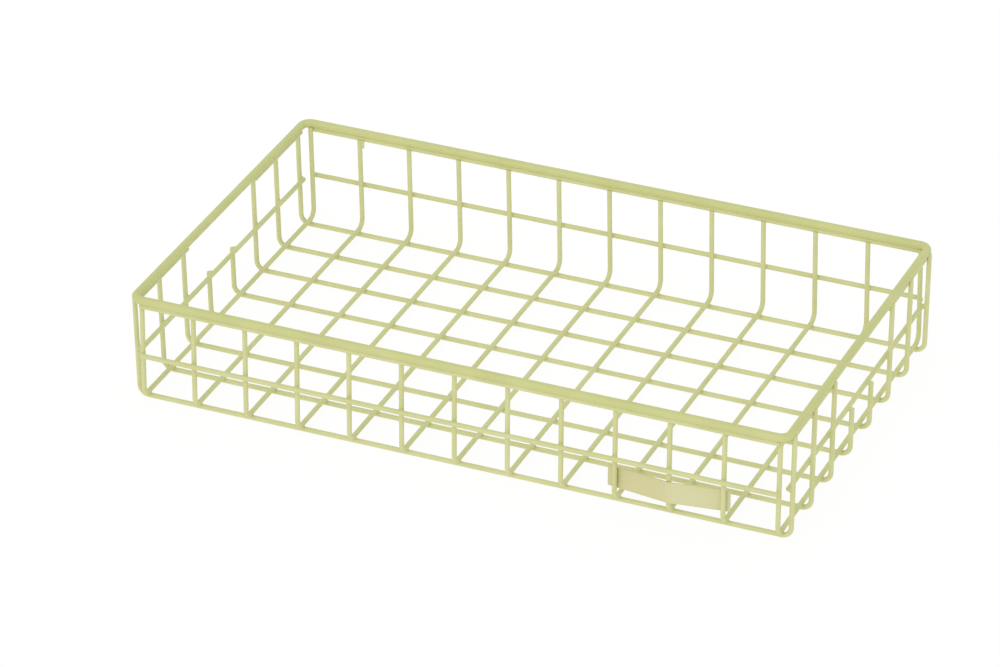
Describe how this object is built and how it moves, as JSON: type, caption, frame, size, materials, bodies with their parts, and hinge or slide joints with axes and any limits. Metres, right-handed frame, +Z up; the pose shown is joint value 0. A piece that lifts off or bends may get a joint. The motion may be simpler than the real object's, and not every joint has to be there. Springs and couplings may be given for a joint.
{
  "type": "wire tray",
  "caption": "Shallow rectangular tray of welded coated wire with a heavier rim rod, an open hand hold in each short wall and a blank label plate sprung between the front wires.",
  "frame": {"origin": "middle of the underside, on the surface that the tray stands on", "axes": "+Z up, +X along the tray to the right as seen from the front, +Y from the front wall, which has the label plate, to the back wall"},
  "size_m": [0.3498, 0.205, 0.0603],
  "materials": {
    "coated_wire": "satin pale olive-yellow coating over steel wire",
    "label_plate": "satin, a little paler than the wire"
  },
  "bodies": {
    "tray": {"long_wire_01": "coated_wire", "long_wire_02": "coated_wire", "long_wire_03": "coated_wire", "long_wire_04": "coated_wire", "long_wire_05": "coated_wire", "long_wire_06": "coated_wire", "long_wire_07": "coated_wire", "long_wire_08": "coated_wire", "cross_wire_01": "coated_wire", "cross_wire_02": "coated_wire", "cross_wire_03": "coated_wire", "cross_wire_04": "coated_wire", "cross_wire_05": "coated_wire", "cross_wire_06": "coated_wire", "cross_wire_07": "coated_wire", "cross_wire_08": "coated_wire", "cross_wire_09": "coated_wire", "cross_wire_10": "coated_wire", "cross_wire_11": "coated_wire", "cross_wire_12": "coated_wire", "cross_wire_13": "coated_wire", "front_mid_rail": "coated_wire", "front_top_rail": "coated_wire", "back_mid_rail": "coated_wire", "back_top_rail": "coated_wire", "left_mid_rail": "coated_wire", "left_top_rail_front": "coated_wire", "left_top_rail_back": "coated_wire", "right_mid_rail": "coated_wire", "right_top_rail_front": "coated_wire", "right_top_rail_back": "coated_wire", "rim_rod": "coated_wire"},
    "label": {"label_plate": "label_plate"}
  },
  "joints": [
    {"name": "label_slide", "type": "slide", "parent": "tray", "child": "label", "axis": [0, 0.0288, 0.9996], "range_m": [0, 0.0045]}
  ]
}
